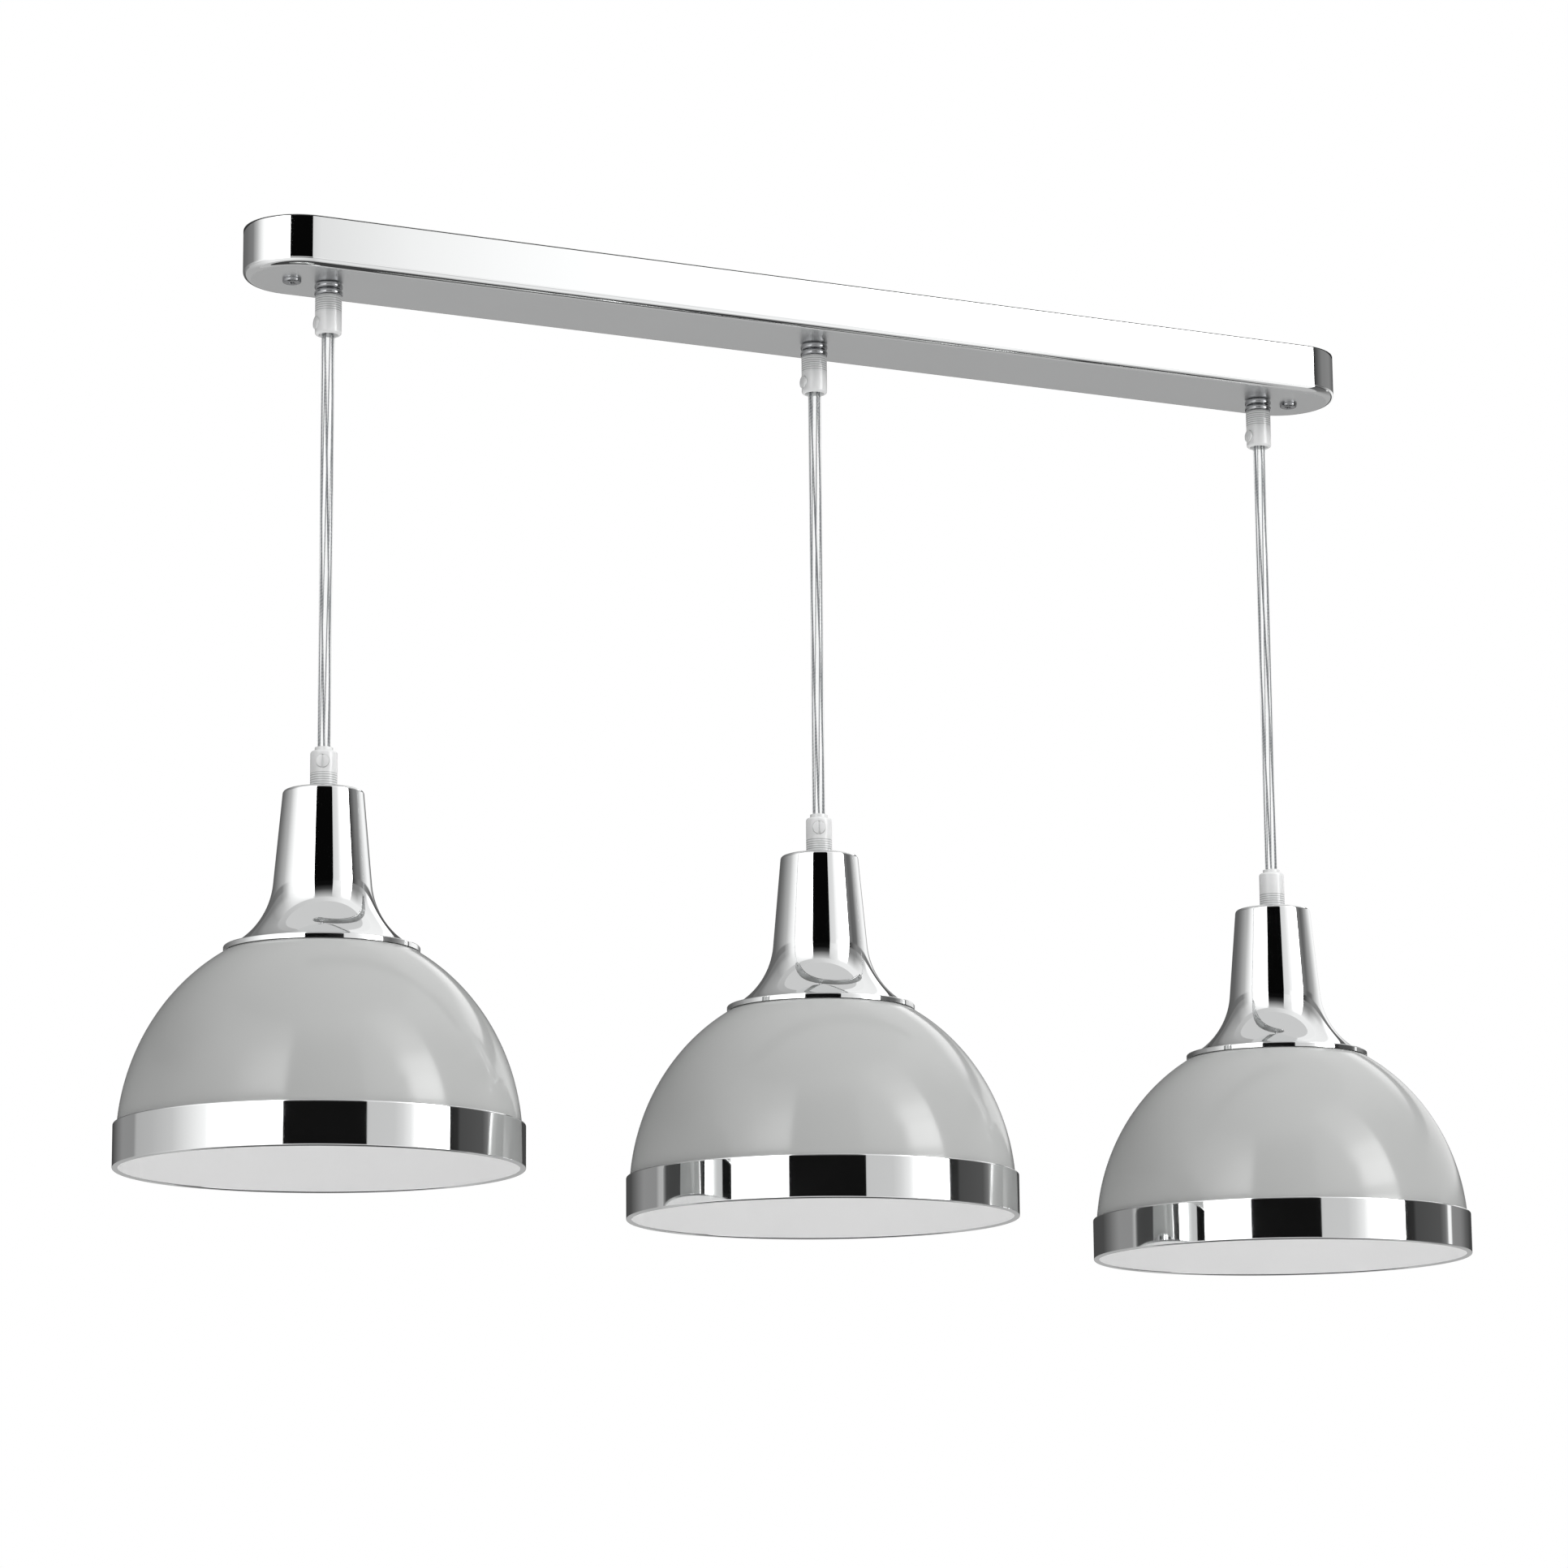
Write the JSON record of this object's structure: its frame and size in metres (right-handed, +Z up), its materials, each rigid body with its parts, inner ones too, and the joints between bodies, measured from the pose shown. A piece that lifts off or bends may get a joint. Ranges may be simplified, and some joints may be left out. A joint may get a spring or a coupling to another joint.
{
  "type": "pendant light",
  "caption": "Ceiling bar with clear cords carrying dome shades that have flared chrome necks and chrome rims; each shade sways, swings, turns and can be set higher.",
  "frame": {"origin": "on the ceiling, at the middle of the bar's bracket", "axes": "+X along the bar to the right in the picture, +Y to its back, +Z up into the ceiling"},
  "size_m": [0.778, 0.21, 0.5228],
  "materials": {
    "chrome_plate": "polished chrome plate",
    "zinc_steel": "zinc plated",
    "brass": "bright",
    "white_nylon": "moulded",
    "black_phenolic": "moulded",
    "porcelain": "glazed",
    "clear_nylon": "clear moulded",
    "clear_vinyl": "clear flex",
    "grey_enamel": "gloss grey outside, white inside"
  },
  "bodies": {
    "canopy": {"bar_tray": "chrome_plate", "ceiling_bracket": "zinc_steel", "canopy_screws": "chrome_plate", "bracket_nuts": "zinc_steel", "terminal_block": "white_nylon", "terminal_screws": "zinc_steel", "earth_screw": "brass", "exit_nipples": "chrome_plate", "exit_ring_nuts": "chrome_plate", "exit_lock_nuts": "zinc_steel", "upper_grip_screws": "clear_nylon", "canopy_wiring": "clear_vinyl", "left_upper_grip": "clear_nylon", "centre_upper_grip": "clear_nylon", "right_upper_grip": "clear_nylon"},
    "left_link": {"left_cord_link": "clear_vinyl"},
    "left_cord_body": {"left_cord": "clear_vinyl"},
    "left_grip": {"left_lower_grip": "clear_nylon", "left_lower_grip_screw": "clear_nylon"},
    "left_pendant": {"left_nipple": "chrome_plate", "left_neck": "chrome_plate", "left_holder_cap": "black_phenolic", "left_holder_body": "black_phenolic", "left_holder_insert": "porcelain", "left_screw_shell": "brass", "left_tip_contact": "brass", "left_holder_leads": "clear_vinyl", "left_shade_ring": "black_phenolic", "left_dome_shade": "grey_enamel", "left_rim_band": "chrome_plate"},
    "centre_link": {"centre_cord_link": "clear_vinyl"},
    "centre_cord_body": {"centre_cord": "clear_vinyl"},
    "centre_grip": {"centre_lower_grip": "clear_nylon", "centre_lower_grip_screw": "clear_nylon"},
    "centre_pendant": {"centre_nipple": "chrome_plate", "centre_neck": "chrome_plate", "centre_holder_cap": "black_phenolic", "centre_holder_body": "black_phenolic", "centre_holder_insert": "porcelain", "centre_screw_shell": "brass", "centre_tip_contact": "brass", "centre_holder_leads": "clear_vinyl", "centre_shade_ring": "black_phenolic", "centre_dome_shade": "grey_enamel", "centre_rim_band": "chrome_plate"},
    "right_link": {"right_cord_link": "clear_vinyl"},
    "right_cord_body": {"right_cord": "clear_vinyl"},
    "right_grip": {"right_lower_grip": "clear_nylon", "right_lower_grip_screw": "clear_nylon"},
    "right_pendant": {"right_nipple": "chrome_plate", "right_neck": "chrome_plate", "right_holder_cap": "black_phenolic", "right_holder_body": "black_phenolic", "right_holder_insert": "porcelain", "right_screw_shell": "brass", "right_tip_contact": "brass", "right_holder_leads": "clear_vinyl", "right_shade_ring": "black_phenolic", "right_dome_shade": "grey_enamel", "right_rim_band": "chrome_plate"}
  },
  "joints": [
    {"name": "left_sway", "type": "hinge", "parent": "canopy", "child": "left_link", "pos_m": [-0.284, 0, -0.0534], "axis": [1, 0, 0], "range_deg": [-25, 25]},
    {"name": "left_swing", "type": "hinge", "parent": "left_link", "child": "left_cord_body", "pos_m": [-0.284, 0, -0.0984], "axis": [0, 1, 0], "range_deg": [-4, 25]},
    {"name": "left_height", "type": "slide", "parent": "left_cord_body", "child": "left_grip", "axis": [0, 0, 1], "range_m": [0, 0.15], "deforming": ["left_cord"]},
    {"name": "left_turn", "type": "hinge", "parent": "left_grip", "child": "left_pendant", "pos_m": [-0.284, 0, -0.3004], "axis": [0, 0, 1], "range_deg": [-180, 180]},
    {"name": "centre_sway", "type": "hinge", "parent": "canopy", "child": "centre_link", "pos_m": [0, 0, -0.0534], "axis": [1, 0, 0], "range_deg": [-25, 25]},
    {"name": "centre_swing", "type": "hinge", "parent": "centre_link", "child": "centre_cord_body", "pos_m": [0, 0, -0.0984], "axis": [0, 1, 0], "range_deg": [-4, 4]},
    {"name": "centre_height", "type": "slide", "parent": "centre_cord_body", "child": "centre_grip", "axis": [0, 0, 1], "range_m": [0, 0.15], "deforming": ["centre_cord"]},
    {"name": "centre_turn", "type": "hinge", "parent": "centre_grip", "child": "centre_pendant", "pos_m": [0, 0, -0.3149], "axis": [0, 0, 1], "range_deg": [-180, 180]},
    {"name": "right_sway", "type": "hinge", "parent": "canopy", "child": "right_link", "pos_m": [0.284, 0, -0.0534], "axis": [1, 0, 0], "range_deg": [-25, 25]},
    {"name": "right_swing", "type": "hinge", "parent": "right_link", "child": "right_cord_body", "pos_m": [0.284, 0, -0.0984], "axis": [0, 1, 0], "range_deg": [-25, 4]},
    {"name": "right_height", "type": "slide", "parent": "right_cord_body", "child": "right_grip", "axis": [0, 0, 1], "range_m": [0, 0.15], "deforming": ["right_cord"]},
    {"name": "right_turn", "type": "hinge", "parent": "right_grip", "child": "right_pendant", "pos_m": [0.284, 0, -0.3259], "axis": [0, 0, 1], "range_deg": [-180, 180]}
  ]
}
